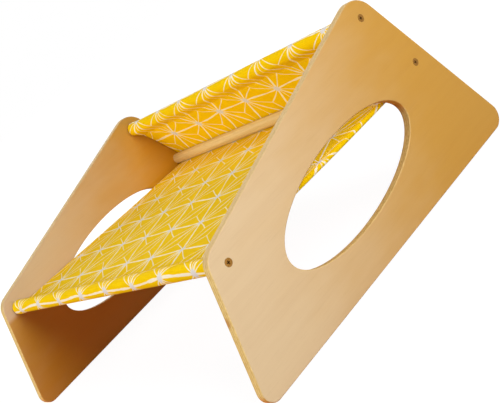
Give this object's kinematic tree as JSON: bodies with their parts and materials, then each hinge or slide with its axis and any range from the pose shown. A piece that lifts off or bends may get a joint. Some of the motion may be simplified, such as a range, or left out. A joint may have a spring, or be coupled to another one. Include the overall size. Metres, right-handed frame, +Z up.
{
  "type": "cat hammock",
  "caption": "Low cat hammock: slanted plywood side panels with oval cut-outs, joined by screwed dowels that carry a printed cloth sling with a seat and a short back.",
  "frame": {"origin": "on the floor, under the middle of the object", "axes": "+Z up, the front faces -Y, +X along the dowels to the right of someone who looks at the front"},
  "size_m": [0.52, 0.4484, 0.2198],
  "materials": {
    "panel_wood": "clear satin lacquer on birch plywood",
    "dowel_wood": "sanded, bare",
    "sling_cloth": "printed cotton canvas",
    "screw_metal": "yellow zinc plated"
  },
  "bodies": {
    "root": {"left_side_panel": "panel_wood", "right_side_panel": "panel_wood", "front_dowel": "dowel_wood", "middle_dowel": "dowel_wood", "rear_dowel": "dowel_wood", "sling": "sling_cloth", "left_front_screw": "screw_metal", "left_middle_screw": "screw_metal", "left_rear_screw": "screw_metal", "right_front_screw": "screw_metal", "right_middle_screw": "screw_metal", "right_rear_screw": "screw_metal"}
  },
  "joints": []
}
